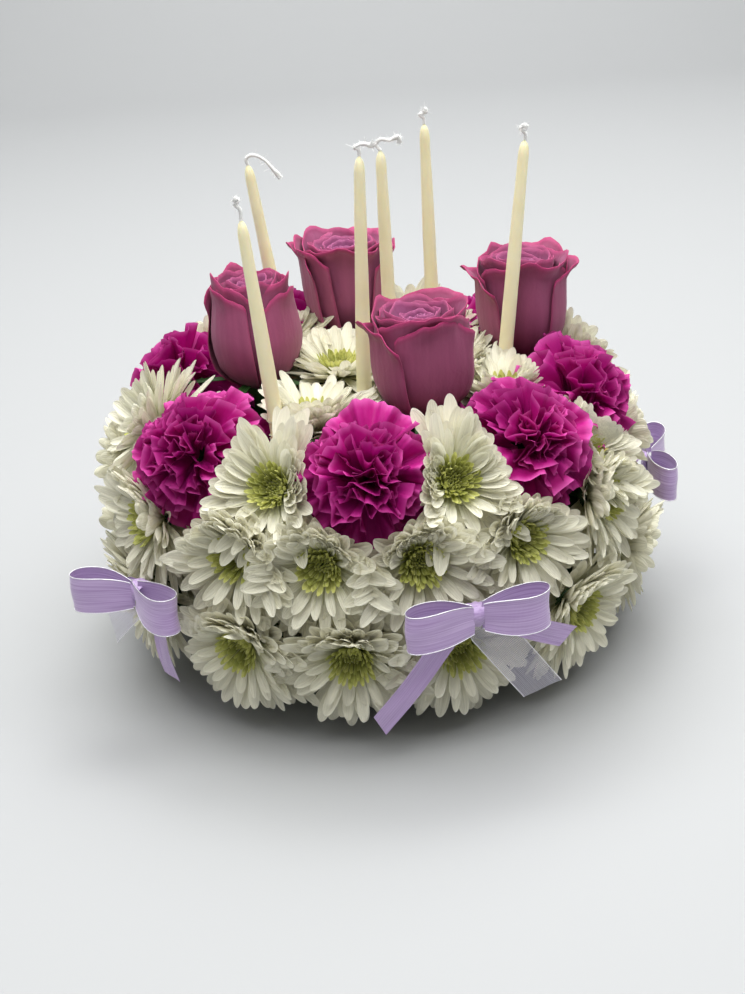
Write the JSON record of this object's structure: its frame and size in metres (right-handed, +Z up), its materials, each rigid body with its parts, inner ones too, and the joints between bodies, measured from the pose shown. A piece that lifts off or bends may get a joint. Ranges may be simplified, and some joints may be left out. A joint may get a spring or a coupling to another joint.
{
  "type": "floral cake",
  "caption": "Round cake-shaped arrangement of white chrysanthemums, magenta carnations and mauve roses on a foam core, with thin candles and ribbon bows.",
  "frame": {"origin": "middle of the flat round underside, on the surface that the cake stands on", "axes": "+Z up; -Y towards the front bow, the side that the picture shows; +X to the right seen from the front"},
  "size_m": [0.3257, 0.332, 0.271],
  "materials": {
    "foam": "rough dark green flower foam",
    "white_petal": "soft white petals with a yellow-green middle",
    "magenta_petal": "soft ruffled magenta petals",
    "mauve_petal": "velvety dusty mauve petals",
    "wax": "satin ivory wax with a white wick",
    "ribbon": "lavender satin and sheer ribbon"
  },
  "bodies": {
    "root": {"core": "foam", "mum_low_01": "white_petal", "mum_low_02": "white_petal", "mum_low_03": "white_petal", "mum_low_04": "white_petal", "mum_low_05": "white_petal", "mum_low_06": "white_petal", "mum_low_07": "white_petal", "mum_low_08": "white_petal", "mum_low_09": "white_petal", "mum_low_10": "white_petal", "mum_low_11": "white_petal", "mum_low_12": "white_petal", "mum_mid_01": "white_petal", "mum_mid_02": "white_petal", "mum_mid_03": "white_petal", "mum_mid_04": "white_petal", "mum_mid_05": "white_petal", "mum_mid_06": "white_petal", "mum_mid_07": "white_petal", "mum_mid_08": "white_petal", "mum_mid_09": "white_petal", "mum_mid_10": "white_petal", "mum_mid_11": "white_petal", "mum_mid_12": "white_petal", "mum_high_01": "white_petal", "mum_high_02": "white_petal", "mum_high_03": "white_petal", "mum_high_04": "white_petal", "mum_high_05": "white_petal", "mum_high_06": "white_petal", "mum_high_07": "white_petal", "mum_top_01": "white_petal", "mum_top_02": "white_petal", "mum_top_03": "white_petal", "mum_top_04": "white_petal", "mum_top_05": "white_petal", "mum_top_06": "white_petal", "carnation_01": "magenta_petal", "carnation_02": "magenta_petal", "carnation_03": "magenta_petal", "carnation_04": "magenta_petal", "carnation_05": "magenta_petal", "carnation_06": "magenta_petal", "carnation_07": "magenta_petal", "rose_front": "mauve_petal", "rose_left": "mauve_petal", "rose_back": "mauve_petal", "rose_right": "mauve_petal", "candle_01": "wax", "candle_02": "wax", "candle_03": "wax", "candle_04": "wax", "candle_05": "wax", "candle_06": "wax", "bow_front": "ribbon", "bow_left": "ribbon", "bow_back": "ribbon", "bow_right": "ribbon"}
  },
  "joints": []
}
